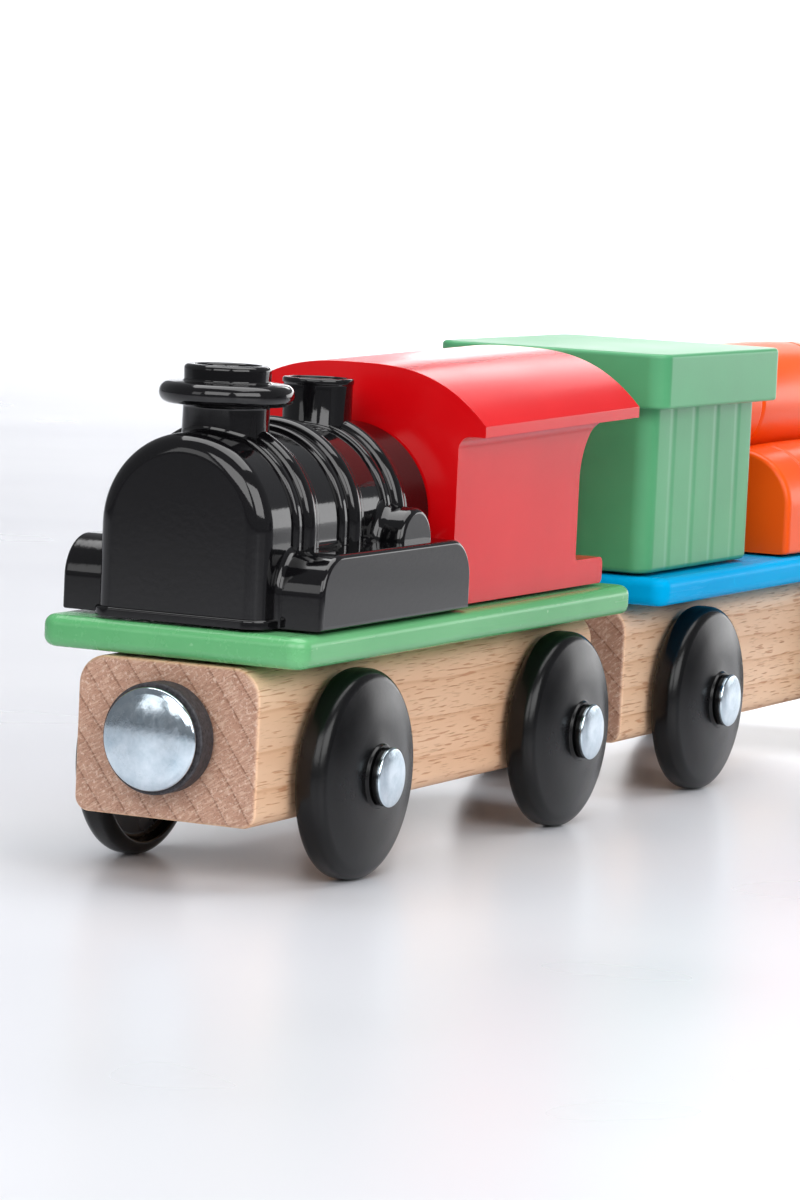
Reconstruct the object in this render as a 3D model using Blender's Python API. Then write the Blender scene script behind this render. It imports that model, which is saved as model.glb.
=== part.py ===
"""A wooden train set: a steam locomotive and one goods wagon for wooden track.

The train drives towards +X, its left side is +Y, and +Z is up. The origin is on the floor,
under the point where the two coupling studs between the vehicles meet, so the upright Z axis
through it is the axis on which the wagon swings. All sizes are in metres.

Each vehicle is a beech block with a painted plate on top, plastic bodies screwed down from
below, wheels that run freely on two steel axles, and a magnet at both ends.
"""

import math

import bmesh
import bpy
from mathutils import Euler, Vector

# Clearance between pieces that rest on, or fit into, each other.
GAP = 0.0003

# Running gear. Sideways places are measured from the vehicle's centre plane.
WHEEL_RADIUS = 0.0100
WHEEL_BORE = 0.0016
RIM_INNER = 0.0101
RIM_OUTER = 0.01335
HUB_INNER = 0.0098
HUB_OUTER = 0.0146
AXLE_RADIUS = 0.0015
AXLE_HALF_LENGTH = 0.01495
CAP_RADIUS = 0.0028
CAP_INNER = 0.01475
CAP_OUTER = 0.0158
CAP_CROWN_RADIUS = 0.00196
CAP_CROWN_DROP = 0.0002
CAP_RIM_DROP = 0.0007
FRONT_AXLE = 0.0159
REAR_AXLE = 0.0622

# Beech block. Lengthwise places on a vehicle are measured back from the block's front face.
BLOCK_LENGTH = 0.0747
BLOCK_HALF_WIDTH = 0.0095
BLOCK_BOTTOM = 0.0061
BLOCK_TOP = 0.0208
BLOCK_TOP_EDGE = 0.0028
BLOCK_BOTTOM_EDGE = 0.0014

# Painted plate.
PLATE_OVERHANG = 0.0003
PLATE_HALF_WIDTH = 0.0139
PLATE_BOTTOM = BLOCK_TOP + GAP
PLATE_TOP = PLATE_BOTTOM + 0.0030
PLATE_CORNER = 0.0018
PLATE_EDGE = 0.0009

# Couplings: a ferrite ring held to each end of a block by a domed steel stud.
STUD_HEIGHT = 0.0139
STUD_RADIUS = 0.0048
STUD_REACH = 0.0042
STUD_HEAD = 0.0012
STUD_SHANK = 0.0011
STUD_DEPTH = 0.0120
MAGNET_RADIUS = 0.0052
MAGNET_BORE = 0.0015
COUPLING_GAP = 2 * STUD_REACH + GAP

# Screws: two side by side hold each plastic body.
SCREW_SPREAD = 0.0045
SCREW_SHANK = 0.0011
SCREW_HEAD_RADIUS = 0.0025
SCREW_HEAD_HEIGHT = 0.0016
SCREW_SEAT = 0.0121
SCREW_TIP = 0.0340
SCREW_HOLE = 0.0015
PILOT_HOLE = 0.0014
BOSS_RADIUS = 0.0027

# Plastic bodies stand on the plate.
BODY_BOTTOM = PLATE_TOP + GAP
WALL = 0.0018

# Boiler moulding, with its water tanks, splashers, chimney and dome.
BOILER_FRONT = 0.0008
BOILER_REAR = 0.03515
BARREL_RADIUS = 0.0088
BARREL_CENTRE = 0.0330
BARREL_EDGE = 0.0019
LIP_OUT = 0.0004
LIP_HEIGHT = 0.00085
BANDS = (0.0091, 0.0184, 0.0277)
BAND_HALF_WIDTH = 0.0024
BAND_HEIGHT = 0.0004
BEAD_HALF_WIDTH = 0.0010
BEAD_HEIGHT = 0.00065
TANK_FRONT = 0.00365
TANK_HALF_WIDTH = 0.0137
TANK_TOP = 0.0313
TANK_CORNER = 0.0039
SPLASHER_CENTRE = 0.0268
SPLASHER_RADIUS = 0.0034
SPLASHER_HALF_WIDTH = 0.0118
CHIMNEY_RADIUS = 0.0041
BRIM_RADIUS = 0.00635
BRIM_HEIGHT = 0.0452
CHIMNEY_TOP = 0.0479
DOME_RADIUS = 0.00337
DOME_TOP = 0.0462
BOILER_SCREWS = 0.0240

# Cab moulding.
CAB_FRONT = 0.03545
CAB_WALL_REAR = 0.0647
CAB_STEP_REAR = 0.0716
CAB_ROOF_REAR = 0.0727
CAB_HALF_WIDTH = 0.0116
CAB_STEP_TOP = 0.0271
EAVE_HALF_WIDTH = 0.01445
EAVE_BOTTOM = 0.0410
EAVE_TOP = 0.0421
ROOF_TOP = 0.0475
ROOF_RISE = 0.0007
ROOF_POWER = 2.9
CAB_SCREWS = 0.0500

# Crate moulding.
CRATE_FRONT = 0.0001
CRATE_LENGTH = 0.0295
CRATE_HALF_WIDTH = 0.0114
CRATE_CORNER = 0.0021
CRATE_RIM = 0.0020
CRATE_RIM_BOTTOM = 0.0421
CRATE_TOP = 0.0479
CRATE_SCREWS = 0.0240

# Barrel-stack moulding: three lying barrels, two below and one on top. The outer sides of the
# lower two drop straight down to the plate.
BARRELS_FRONT = 0.0368
BARRELS_LENGTH = 0.0350
CASK_RADIUS = 0.0066
CASK_END = 0.0062
CASK_EDGE = 0.0006
HOOP_PLACE = 0.0105
HOOP_HALF_WIDTH = 0.0005
HOOP_DEPTH = 0.0003
LOW_CASK_SPREAD = 0.0067
LOW_CASK_CENTRE = 0.0297
HIGH_CASK_CENTRE = 0.0407
BARREL_SCREWS = 0.0540

LOCO_FRONT = COUPLING_GAP / 2 + BLOCK_LENGTH
WAGON_FRONT = -COUPLING_GAP / 2


def clear_scene():
    for obj in list(bpy.data.objects):
        bpy.data.objects.remove(obj, do_unlink=True)


def principled(name, colour, roughness, metallic=0.0):
    mat = bpy.data.materials.new(name)
    mat.use_nodes = True
    shader = mat.node_tree.nodes["Principled BSDF"]
    shader.inputs["Base Color"].default_value = (*colour, 1.0)
    shader.inputs["Roughness"].default_value = roughness
    shader.inputs["Metallic"].default_value = metallic
    mat.diffuse_color = (*colour, 1.0)
    return mat


def make_materials():
    return {
        "beech": principled("beech", (0.62, 0.38, 0.20), 0.60),
        "green_paint": principled("green_paint", (0.13, 0.44, 0.19), 0.30),
        "blue_paint": principled("blue_paint", (0.01, 0.32, 0.72), 0.30),
        "black_plastic": principled("black_plastic", (0.015, 0.013, 0.015), 0.22),
        "red_plastic": principled("red_plastic", (0.72, 0.02, 0.015), 0.30),
        "green_plastic": principled("green_plastic", (0.10, 0.30, 0.16), 0.40),
        "orange_plastic": principled("orange_plastic", (0.85, 0.14, 0.02), 0.35),
        "wheel_plastic": principled("wheel_plastic", (0.02, 0.017, 0.018), 0.32),
        "zinc": principled("zinc", (0.72, 0.76, 0.80), 0.22, 1.0),
        "ferrite": principled("ferrite", (0.05, 0.047, 0.05), 0.55, 0.3),
        "screw_steel": principled("screw_steel", (0.55, 0.55, 0.56), 0.30, 1.0),
    }


# Outlines

def rounded(corners, steps=3):
    """The outline through (u, v, radius) corners, with an arc at each corner of some radius."""
    outline = []
    for index, (u, v, radius) in enumerate(corners):
        corner = Vector((u, v))
        if radius == 0:
            outline.append(corner)
            continue
        before = Vector(corners[index - 1][:2]) - corner
        after = Vector(corners[(index + 1) % len(corners)][:2]) - corner
        before.normalize()
        after.normalize()
        half = before.angle(after) / 2
        centre = corner + (before + after).normalized() * (radius / math.sin(half))
        start = corner + before * (radius / math.tan(half)) - centre
        end = corner + after * (radius / math.tan(half)) - centre
        turn = start.angle_signed(end)
        for step in range(steps + 1):
            angle = -turn * step / steps
            turned = Vector((
                start.x * math.cos(angle) - start.y * math.sin(angle),
                start.x * math.sin(angle) + start.y * math.cos(angle),
            ))
            outline.append(centre + turned)
    return outline


def placed(u, v, along, axis):
    """The point of a flat outline drawn across an axis: (y, z) on X, (x, z) on Y, (x, y) on Z."""
    return {"X": (along, u, v), "Y": (u, along, v), "Z": (u, v, along)}[axis]


# Solids

def prism(outline, low, high, axis):
    bm = bmesh.new()
    base = bm.faces.new([bm.verts.new(placed(u, v, low, axis)) for u, v in outline])
    extruded = bmesh.ops.extrude_face_region(bm, geom=[base])["geom"]
    top = [item for item in extruded if isinstance(item, bmesh.types.BMVert)]
    bmesh.ops.translate(bm, vec=placed(0, 0, high - low, axis), verts=top)
    bmesh.ops.recalc_face_normals(bm, faces=bm.faces)
    return bm


def bevel_ends(bm, axis, places, width, segments=1):
    """Round the edges that lie in the planes at the given places along an axis."""
    number = "XYZ".index(axis)

    def lies_in(edge, place):
        return all(abs(vert.co[number] - place) < 1e-7 for vert in edge.verts)

    edges = [edge for edge in bm.edges if any(lies_in(edge, place) for place in places)]
    bmesh.ops.bevel(bm, geom=edges, offset=width, segments=segments, profile=0.5, affect="EDGES")


def loft(rings):
    """A solid through rings of equally many points, closed by a face at both ends."""
    bm = bmesh.new()
    rows = [[bm.verts.new(point) for point in ring] for ring in rings]
    count = len(rows[0])
    for row, following in zip(rows, rows[1:]):
        for index in range(count):
            after = (index + 1) % count
            bm.faces.new((row[index], row[after], following[after], following[index]))
    bm.faces.new(rows[0])
    bm.faces.new(rows[-1])
    bmesh.ops.recalc_face_normals(bm, faces=bm.faces)
    return bm


def lathe(profile, steps):
    """Turn (radius, along) points about Z. A profile that stays off the axis is a closed loop."""
    bm = bmesh.new()
    verts = [bm.verts.new((radius, 0, along)) for radius, along in profile]
    edges = [bm.edges.new(pair) for pair in zip(verts, verts[1:])]
    if profile[0][0] > 0 and profile[-1][0] > 0:
        edges.append(bm.edges.new((verts[-1], verts[0])))
    bmesh.ops.spin(
        bm, geom=verts + edges, axis=(0, 0, 1), cent=(0, 0, 0),
        steps=steps, angle=2 * math.pi, use_merge=True,
    )
    bmesh.ops.remove_doubles(bm, verts=bm.verts, dist=1e-6)
    bmesh.ops.recalc_face_normals(bm, faces=bm.faces)
    return bm


def cylinder(radius, low, high, steps=12):
    return lathe([(0, low), (radius, low), (radius, high), (0, high)], steps)


def joined(parts):
    """One mesh from (bmesh, location, turn) parts; turn is an Euler rotation."""
    whole = bmesh.new()
    mesh = bpy.data.meshes.new("joined")
    for bm, location, turn in parts:
        bm.transform(Euler(turn).to_matrix().to_4x4())
        bmesh.ops.translate(bm, vec=location, verts=bm.verts)
        bm.to_mesh(mesh)
        bm.free()
        whole.from_mesh(mesh)
    bpy.data.meshes.remove(mesh)
    return whole


# Objects

TURN_TO = {"+X": (0, math.pi / 2, 0), "-X": (0, -math.pi / 2, 0),
           "+Y": (-math.pi / 2, 0, 0), "-Y": (math.pi / 2, 0, 0), "+Z": (0, 0, 0)}


def add_object(name, bm, mat=None, location=(0, 0, 0), facing="+Z"):
    mesh = bpy.data.meshes.new(name)
    bm.to_mesh(mesh)
    bm.free()
    mesh.shade_smooth()
    mesh.set_sharp_from_angle(angle=math.radians(35))
    if mat:
        mesh.materials.append(mat)
    obj = bpy.data.objects.new(name, mesh)
    bpy.context.scene.collection.objects.link(obj)
    obj.location = location
    obj.rotation_euler = TURN_TO[facing]
    return obj


def combine(obj, name, bm, operation):
    """Join a shape to an object, or cut it away, with a Boolean. Returns the hidden shape."""
    shape = add_object(name, bm)
    shape.hide_render = True
    shape.display_type = "WIRE"
    modifier = obj.modifiers.new(name, "BOOLEAN")
    modifier.operation = operation
    modifier.solver = "EXACT"
    modifier.object = shape
    return shape


def add_empty(name, children):
    empty = bpy.data.objects.new(name, None)
    bpy.context.scene.collection.objects.link(empty)
    for child in children:
        child.parent = empty


# Chassis

def block_section():
    half, low, high = BLOCK_HALF_WIDTH, BLOCK_BOTTOM, BLOCK_TOP
    return rounded([
        (-half, low, BLOCK_BOTTOM_EDGE), (half, low, BLOCK_BOTTOM_EDGE),
        (half, high, BLOCK_TOP_EDGE), (-half, high, BLOCK_TOP_EDGE),
    ])


def screw_places(front, offsets):
    return [(front - offset, side * SCREW_SPREAD) for offset in offsets for side in (1, -1)]


def make_block(vehicle, front, screws, mat):
    rear = front - BLOCK_LENGTH
    bm = prism(block_section(), rear, front, "X")
    bevel_ends(bm, "X", (rear, front), 0.0003)
    block = add_object(f"{vehicle}_block", bm, mat)
    past = BLOCK_HALF_WIDTH + 0.002
    holes = []
    for offset in (FRONT_AXLE, REAR_AXLE):
        bore = cylinder(AXLE_RADIUS + GAP, -past, past)
        holes.append((bore, (front - offset, 0, WHEEL_RADIUS), TURN_TO["+Y"]))
    for end, facing in ((front, "-X"), (rear, "+X")):
        bore = cylinder(STUD_SHANK + GAP, -0.002, STUD_DEPTH + GAP)
        holes.append((bore, (end, 0, STUD_HEIGHT), TURN_TO[facing]))
    for x, y in screw_places(front, screws):
        head = SCREW_HEAD_RADIUS + 0.0004
        profile = [(0, BLOCK_BOTTOM - 0.002), (head, BLOCK_BOTTOM - 0.002), (head, SCREW_SEAT),
                   (SCREW_HOLE, SCREW_SEAT), (SCREW_HOLE, BLOCK_TOP + 0.002), (0, BLOCK_TOP + 0.002)]
        holes.append((lathe(profile, 12), (x, y, 0), TURN_TO["+Z"]))
    combine(block, f"{vehicle}_block_holes", joined(holes), "DIFFERENCE")
    return block


def make_plate(vehicle, front, screws, mat):
    ends = (front - BLOCK_LENGTH - PLATE_OVERHANG, front + PLATE_OVERHANG)
    half = PLATE_HALF_WIDTH
    plan = rounded([
        (ends[0], -half, PLATE_CORNER), (ends[1], -half, PLATE_CORNER),
        (ends[1], half, PLATE_CORNER), (ends[0], half, PLATE_CORNER),
    ])
    bm = prism(plan, PLATE_BOTTOM, PLATE_TOP, "Z")
    bevel_ends(bm, "Z", (PLATE_BOTTOM, PLATE_TOP), PLATE_EDGE)
    plate = add_object(f"{vehicle}_plate", bm, mat)
    past = 0.002
    holes = [
        (cylinder(SCREW_HOLE, PLATE_BOTTOM - past, PLATE_TOP + past), (x, y, 0), TURN_TO["+Z"])
        for x, y in screw_places(front, screws)
    ]
    combine(plate, f"{vehicle}_plate_holes", joined(holes), "DIFFERENCE")
    return plate


def wheel_profile():
    """The wheel's turned section: a dished inner face, a domed outer face, and a hub."""
    return [
        (WHEEL_BORE, HUB_INNER), (0.0033, HUB_INNER), (0.0035, 0.0113), (0.0084, 0.0113),
        (0.0088, RIM_INNER), (0.0094, RIM_INNER), (WHEEL_RADIUS, RIM_INNER + 0.0007),
        (WHEEL_RADIUS, RIM_OUTER - 0.0010), (0.0096, RIM_OUTER - 0.0002), (0.0088, RIM_OUTER),
        (0.0031, 0.0143), (0.0029, HUB_OUTER), (WHEEL_BORE, HUB_OUTER),
    ]


def cap_profile():
    """A domed push-on cap with a blind hole for the axle's end."""
    hole = AXLE_RADIUS + GAP
    depth = AXLE_HALF_LENGTH + GAP
    return [
        (0, CAP_OUTER),
        (CAP_CROWN_RADIUS, CAP_OUTER - CAP_CROWN_DROP),
        (CAP_RADIUS, CAP_OUTER - CAP_RIM_DROP),
        (CAP_RADIUS, CAP_INNER),
        (hole, CAP_INNER),
        (hole, depth),
        (0, depth),
    ]


def make_running_gear(vehicle, front, mats):
    parts = []
    for place, offset in (("front", FRONT_AXLE), ("rear", REAR_AXLE)):
        centre = (front - offset, 0, WHEEL_RADIUS)
        rod = cylinder(AXLE_RADIUS, -AXLE_HALF_LENGTH, AXLE_HALF_LENGTH, 12)
        parts.append(add_object(f"{vehicle}_{place}_axle", rod, mats["screw_steel"], centre, "+Y"))
        for side, facing in (("left", "+Y"), ("right", "-Y")):
            name = f"{vehicle}_{place}_{side}"
            wheel = lathe(wheel_profile(), 24)
            parts.append(add_object(f"{name}_wheel", wheel, mats["wheel_plastic"], centre, facing))
            cap = lathe(cap_profile(), 12)
            parts.append(add_object(f"{name}_axle_cap", cap, mats["zinc"], centre, facing))
    return parts


def stud_profile():
    """The coupling stud from its domed face to the tip of its shank, from the block's face out."""
    back = STUD_REACH - STUD_HEAD
    return [
        (0, STUD_REACH), (STUD_RADIUS * 0.5, STUD_REACH - 0.00018),
        (STUD_RADIUS * 0.88, STUD_REACH - 0.00058), (STUD_RADIUS, STUD_REACH - 0.0009),
        (STUD_RADIUS, back), (STUD_SHANK, back), (STUD_SHANK, -STUD_DEPTH + 0.001), (0, -STUD_DEPTH),
    ]


def make_couplings(vehicle, front, mats):
    parts = []
    rear = front - BLOCK_LENGTH
    ring = [(MAGNET_BORE, GAP), (MAGNET_RADIUS, GAP),
            (MAGNET_RADIUS, STUD_REACH - STUD_HEAD - GAP), (MAGNET_BORE, STUD_REACH - STUD_HEAD - GAP)]
    for place, end, facing in (("front", front, "+X"), ("rear", rear, "-X")):
        centre = (end, 0, STUD_HEIGHT)
        name = f"{vehicle}_{place}"
        parts.append(add_object(f"{name}_magnet", lathe(ring, 20), mats["ferrite"], centre, facing))
        stud = lathe(stud_profile(), 20)
        parts.append(add_object(f"{name}_coupling_stud", stud, mats["zinc"], centre, facing))
    return parts


def make_screws(vehicle, body, front, offset, mat):
    under = SCREW_SEAT - GAP
    profile = [
        (0, under - SCREW_HEAD_HEIGHT), (SCREW_HEAD_RADIUS * 0.7, under - SCREW_HEAD_HEIGHT),
        (SCREW_HEAD_RADIUS, under - 0.0006), (SCREW_HEAD_RADIUS, under), (SCREW_SHANK, under),
        (SCREW_SHANK, SCREW_TIP - 0.002), (0, SCREW_TIP),
    ]
    parts = []
    for side, (x, y) in zip(("left", "right"), screw_places(front, [offset])):
        parts.append(add_object(f"{vehicle}_{body}_{side}_screw", lathe(profile, 10), mat, (x, y, 0)))
    return parts


def hollow(body, name, cavity, front, offset, boss_top):
    """Hollow a moulding from below and leave two bosses in it, bored for their screws."""
    space = combine(body, f"{name}_cavity", cavity, "DIFFERENCE")
    places = screw_places(front, [offset])
    bosses = joined([
        (cylinder(BOSS_RADIUS, BODY_BOTTOM - 0.005, boss_top), (x, y, 0), TURN_TO["+Z"])
        for x, y in places
    ])
    combine(space, f"{name}_bosses", bosses, "DIFFERENCE")
    pilots = joined([
        (cylinder(PILOT_HOLE, BODY_BOTTOM - 0.002, SCREW_TIP + 0.0005), (x, y, 0), TURN_TO["+Z"])
        for x, y in places
    ])
    combine(body, f"{name}_pilots", pilots, "DIFFERENCE")


# Boiler

def arch_ring(x, radius, bottom, middle=0.0, height=BARREL_CENTRE, steps=16):
    """An upright arch: a half round on straight sides, standing at a place along X."""
    ring = [(x, middle + radius, bottom)]
    for step in range(steps + 1):
        angle = math.pi * step / steps
        ring.append((x, middle + radius * math.cos(angle), height + radius * math.sin(angle)))
    ring.append((x, middle - radius, bottom))
    return ring


def barrel_sections():
    """(offset, height above the barrel) pairs: the rounded front edge and the banding."""
    sections = []
    for step in range(3):
        angle = math.radians(45 * step)
        sections.append((BOILER_FRONT + BARREL_EDGE * (1 - math.cos(angle)),
                         -BARREL_EDGE * (1 - math.sin(angle))))
    for band in BANDS:
        sections += [(band - BAND_HALF_WIDTH, 0), (band - BAND_HALF_WIDTH + 0.0003, BAND_HEIGHT)]
        for step in range(5):
            angle = math.pi * step / 4
            sections.append((band - BEAD_HALF_WIDTH * math.cos(angle),
                             BAND_HEIGHT + BEAD_HEIGHT * math.sin(angle)))
        sections += [(band + BAND_HALF_WIDTH - 0.0003, BAND_HEIGHT), (band + BAND_HALF_WIDTH, 0)]
    sections.append((BOILER_REAR, 0))
    return sections


def chimney_profile():
    edge = 0.0010
    return [
        (0, BARREL_CENTRE + 0.004), (CHIMNEY_RADIUS, BARREL_CENTRE + 0.004),
        (CHIMNEY_RADIUS, BRIM_HEIGHT - edge), (BRIM_RADIUS - 0.0006, BRIM_HEIGHT - edge),
        (BRIM_RADIUS, BRIM_HEIGHT - edge * 0.4), (BRIM_RADIUS, BRIM_HEIGHT + edge * 0.4),
        (BRIM_RADIUS - 0.0006, BRIM_HEIGHT + edge),
        (CHIMNEY_RADIUS, BRIM_HEIGHT + edge), (0.00412, CHIMNEY_TOP - 0.0004), (0.0038, CHIMNEY_TOP),
        (0.0031, CHIMNEY_TOP), (0.0030, CHIMNEY_TOP - 0.0005), (0, CHIMNEY_TOP - 0.0005),
    ]


def make_boiler(front, mats):
    rings = [
        arch_ring(front - offset, BARREL_RADIUS + grow, BODY_BOTTOM)
        for offset, grow in barrel_sections()
    ]
    boiler = add_object("boiler", loft(rings), mats["black_plastic"])

    lip_half = BARREL_RADIUS + LIP_OUT
    lip = rounded([
        (front - BOILER_REAR, -lip_half, 0), (front - BOILER_FRONT + LIP_OUT, -lip_half, BARREL_EDGE),
        (front - BOILER_FRONT + LIP_OUT, lip_half, BARREL_EDGE), (front - BOILER_REAR, lip_half, 0),
    ], 4)
    combine(boiler, "boiler_lip", prism(lip, BODY_BOTTOM, BODY_BOTTOM + LIP_HEIGHT, "Z"), "UNION")

    tank_front, tank_rear = front - TANK_FRONT, front - BOILER_REAR
    tanks = rounded([
        (tank_rear, BODY_BOTTOM, 0), (tank_front, BODY_BOTTOM, 0),
        (tank_front, TANK_TOP, TANK_CORNER), (tank_rear, TANK_TOP, TANK_CORNER),
    ], 5)
    combine(boiler, "tanks", prism(tanks, -TANK_HALF_WIDTH, TANK_HALF_WIDTH, "Y"), "UNION")

    bump = []
    for step in range(11):
        angle = math.pi * step / 10
        bump.append((front - SPLASHER_CENTRE + SPLASHER_RADIUS * math.cos(angle),
                     TANK_TOP - 0.0002 + SPLASHER_RADIUS * math.sin(angle)))
    bump += [(front - SPLASHER_CENTRE - SPLASHER_RADIUS, TANK_TOP - 0.002),
             (front - SPLASHER_CENTRE + SPLASHER_RADIUS, TANK_TOP - 0.002)]
    combine(boiler, "splashers", prism(bump, -SPLASHER_HALF_WIDTH, SPLASHER_HALF_WIDTH, "Y"), "UNION")

    chimney = lathe(chimney_profile(), 20)
    bmesh.ops.translate(chimney, vec=(front - BANDS[0], 0, 0), verts=chimney.verts)
    combine(boiler, "chimney", chimney, "UNION")

    dome = lathe([(0, BARREL_CENTRE + 0.004), (DOME_RADIUS, BARREL_CENTRE + 0.004),
                  (DOME_RADIUS, DOME_TOP - 0.0003), (DOME_RADIUS - 0.0003, DOME_TOP), (0, DOME_TOP)], 16)
    bmesh.ops.translate(dome, vec=(front - BANDS[2], 0, 0), verts=dome.verts)
    combine(boiler, "dome", dome, "UNION")

    below = BODY_BOTTOM - 0.002
    space = joined([
        (loft([arch_ring(front - offset, BARREL_RADIUS - WALL, below, 8)
               for offset in (BOILER_FRONT + WALL, BOILER_REAR - WALL)]), (0, 0, 0), TURN_TO["+Z"]),
    ])
    hollow(boiler, "boiler", space, front, BOILER_SCREWS, BARREL_CENTRE + 0.0075)
    tank_space = joined([
        (prism([(tank_rear + WALL, below), (tank_front - WALL, below),
                (tank_front - WALL, TANK_TOP - TANK_CORNER), (tank_front - TANK_CORNER, TANK_TOP - WALL),
                (tank_rear + TANK_CORNER, TANK_TOP - WALL), (tank_rear + WALL, TANK_TOP - TANK_CORNER)],
               side * (BARREL_RADIUS + 0.0002), side * (TANK_HALF_WIDTH - WALL), "Y"),
         (0, 0, 0), TURN_TO["+Z"])
        for side in (1, -1)
    ])
    combine(boiler, "tank_cavities", tank_space, "DIFFERENCE")
    return boiler


# Cab

def roof_height(y, crown, eave):
    """The roof's arch: flat on the crown and steeper towards the eaves."""
    return crown - (crown - eave) * (abs(y) / EAVE_HALF_WIDTH) ** ROOF_POWER


def cab_ring(x, rise, steps=14):
    """The cab's outline across the train: walls, coved eaves and the arched roof."""
    cove = 0.0012
    right = [(CAB_HALF_WIDTH, BODY_BOTTOM)]
    for step in range(4):
        angle = math.radians(30 * step)
        right.append((CAB_HALF_WIDTH + cove * (1 - math.cos(angle)),
                      EAVE_BOTTOM + rise - cove * (1 - math.sin(angle))))
    right.append((EAVE_HALF_WIDTH - 0.0002, EAVE_BOTTOM + rise))
    right.append((EAVE_HALF_WIDTH, EAVE_BOTTOM + rise + 0.0003))
    roof = []
    for step in range(steps + 1):
        y = EAVE_HALF_WIDTH * math.cos(math.pi * step / steps)
        roof.append((y, roof_height(y, ROOF_TOP + rise, EAVE_TOP + rise)))
    left = [(-y, z) for y, z in reversed(right)]
    return [(x, y, z) for y, z in right + roof + left]


def cab_side(front):
    """The cab's outline from the side: the curved rear opening between the roof and the step."""
    sweep = 0.0065
    wall = front - CAB_WALL_REAR
    roof = front - CAB_ROOF_REAR
    step = front - CAB_STEP_REAR
    under = EAVE_BOTTOM + ROOF_RISE
    above = ROOF_TOP + 0.003
    outline = [(front - CAB_FRONT, BODY_BOTTOM), (front - CAB_FRONT, above), (roof, above), (roof, under)]
    for turn in range(7):
        angle = math.radians(15 * turn)
        outline.append((wall - sweep + sweep * math.sin(angle),
                        under - sweep + sweep * math.cos(angle)))
    outline += [
        (wall, CAB_STEP_TOP + 0.0005), (wall - 0.0005, CAB_STEP_TOP), (step + 0.0006, CAB_STEP_TOP),
        (step, CAB_STEP_TOP - 0.0006), (step, BODY_BOTTOM + 0.0005), (step + 0.0005, BODY_BOTTOM),
    ]
    return outline


def make_cab(front, mats):
    rings = [cab_ring(front - CAB_FRONT, 0), cab_ring(front - CAB_ROOF_REAR, ROOF_RISE)]
    cab = add_object("cab", loft(rings), mats["red_plastic"])
    side = prism(cab_side(front), -EAVE_HALF_WIDTH - 0.001, EAVE_HALF_WIDTH + 0.001, "Y")
    combine(cab, "cab_side_profile", side, "INTERSECT")
    half = CAB_HALF_WIDTH - WALL
    inside = [(-half, BODY_BOTTOM - 0.002), (half, BODY_BOTTOM - 0.002), (half, EAVE_BOTTOM),
              (half * 0.6, ROOF_TOP - 0.0028), (-half * 0.6, ROOF_TOP - 0.0028), (-half, EAVE_BOTTOM)]
    cavity = prism(inside, front - CAB_WALL_REAR + WALL, front - CAB_FRONT - WALL, "X")
    hollow(cab, "cab", cavity, front, CAB_SCREWS, ROOF_TOP - 0.0010)
    return cab


# Wagon loads

def box_plan(front, rear, half, corner):
    return rounded([
        (rear, -half, corner),
        (front, -half, corner),
        (front, half, corner),
        (rear, half, corner),
    ])


def make_crate(front, mats):
    start, end = front - CRATE_FRONT, front - CRATE_FRONT - CRATE_LENGTH
    body = prism(box_plan(start, end, CRATE_HALF_WIDTH, CRATE_CORNER), BODY_BOTTOM, CRATE_TOP - 0.001, "Z")
    bevel_ends(body, "Z", (BODY_BOTTOM,), 0.0006)
    crate = add_object("crate", body, mats["green_plastic"])
    rim = prism(box_plan(start + CRATE_RIM, end - CRATE_RIM, CRATE_HALF_WIDTH + CRATE_RIM, CRATE_CORNER),
                CRATE_RIM_BOTTOM, CRATE_TOP, "Z")
    bevel_ends(rim, "Z", (CRATE_RIM_BOTTOM, CRATE_TOP), 0.0004)
    combine(crate, "crate_rim", rim, "UNION")
    half = CRATE_HALF_WIDTH - WALL
    cavity = prism([(end + WALL, -half), (start - WALL, -half), (start - WALL, half), (end + WALL, half)],
                   BODY_BOTTOM - 0.002, CRATE_TOP - 0.002, "Z")
    hollow(crate, "crate", cavity, front, CRATE_SCREWS, CRATE_TOP - 0.0015)
    return crate


def cask_radius(along):
    """The gently bellied staves' radius at a distance from the barrel's middle."""
    share = along / (BARRELS_LENGTH / 2)
    return CASK_END + (CASK_RADIUS - CASK_END) * (1 - share * share)


def cask_sections():
    """(radius, along) pairs from end to end: rounded ends, and a groove beside either end."""
    half = BARRELS_LENGTH / 2
    rise = [(CASK_END - CASK_EDGE, half), (CASK_END - 0.3 * CASK_EDGE, half - 0.3 * CASK_EDGE)]
    rise.append((CASK_END, half - CASK_EDGE))
    for offset, depth in ((1, 0), (0.5, HOOP_DEPTH), (-0.5, HOOP_DEPTH), (-1, 0)):
        along = HOOP_PLACE + offset * HOOP_HALF_WIDTH
        rise.append((cask_radius(along) - depth, along))
    rise.append((cask_radius(HOOP_PLACE / 2), HOOP_PLACE / 2))
    return [(radius, -along) for radius, along in rise] + [(CASK_RADIUS, 0)] + rise[::-1]


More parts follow.
